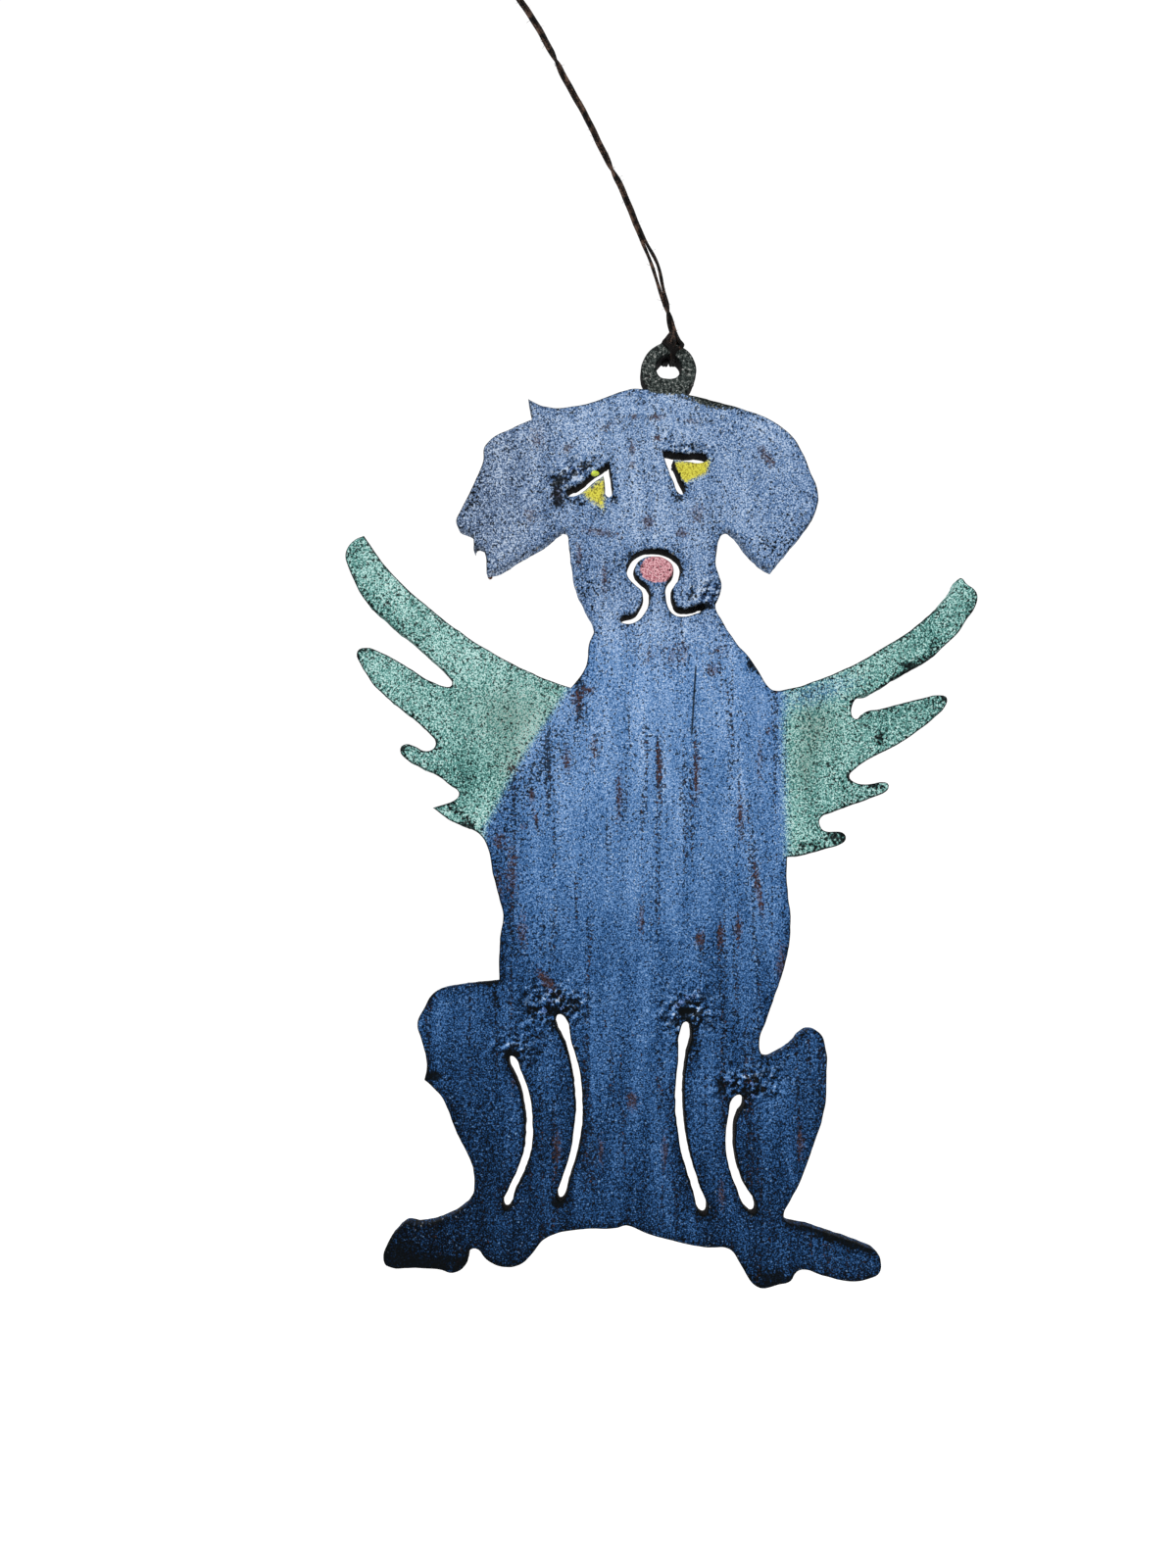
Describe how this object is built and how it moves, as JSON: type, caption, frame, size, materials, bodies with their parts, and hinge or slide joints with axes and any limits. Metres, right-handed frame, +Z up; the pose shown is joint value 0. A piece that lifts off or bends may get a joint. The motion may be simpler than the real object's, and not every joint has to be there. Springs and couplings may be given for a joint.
{
  "type": "hanging metal dog ornament",
  "caption": "Flat torch-cut steel ornament in the shape of a sitting winged dog, with an integral hanging eye on its head and a short dark cord.",
  "frame": {"origin": "centre of the hanging eye's hole, halfway through the plate's thickness", "axes": "+X to the right as one faces the dog, +Y from the painted front through to the back, +Z up along the height"},
  "size_m": [0.0931, 0.0046, 0.2039],
  "materials": {
    "painted_steel": "thin sprayed paint over pitted, rusty scrap plate: light blue head and chest, navy legs, near-black feet, mint wings",
    "cord": "dark waxed twine, two strands lying together"
  },
  "bodies": {
    "root": {"dog_plate": "painted_steel", "cord_hitch": "cord", "hanging_cord": "cord", "cord_end_knot": "cord", "cord_end_loop": "cord"}
  },
  "joints": []
}
